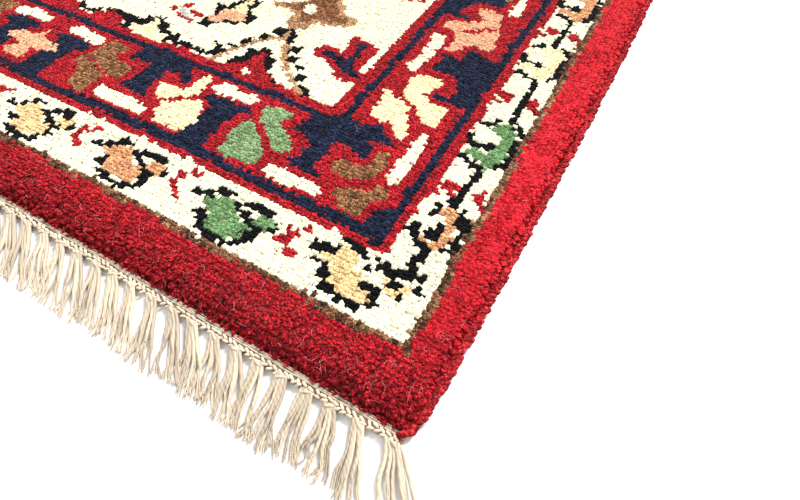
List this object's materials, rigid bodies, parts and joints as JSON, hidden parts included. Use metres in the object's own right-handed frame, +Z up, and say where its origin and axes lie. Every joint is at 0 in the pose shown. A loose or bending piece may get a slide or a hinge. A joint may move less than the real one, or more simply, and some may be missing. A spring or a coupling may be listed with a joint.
{
  "type": "oriental rug",
  "caption": "Flat hand-knotted wool pile rug with overcast side edges, woven end bands and knotted cotton fringe.",
  "frame": {"origin": "middle of the whole rug's plan, on the surface it lies on", "axes": "+X across the rug along its fringed ends, +Y along its length, +Z up out of the pile"},
  "size_m": [0.9362, 1.6115, 0.0109],
  "materials": {
    "wool_pile": "matt cut wool pile, knotted in red, navy, ivory, brown, green, gold and black",
    "overcast_wool": "matt red wool, wrapped round the edge",
    "cream_cotton": "matt twisted cotton yarn"
  },
  "bodies": {
    "root": {"pile_carpet": "wool_pile", "side_overcast_left": "overcast_wool", "side_overcast_right": "overcast_wool", "fringe_near": "cream_cotton", "fringe_far": "cream_cotton"}
  },
  "joints": []
}
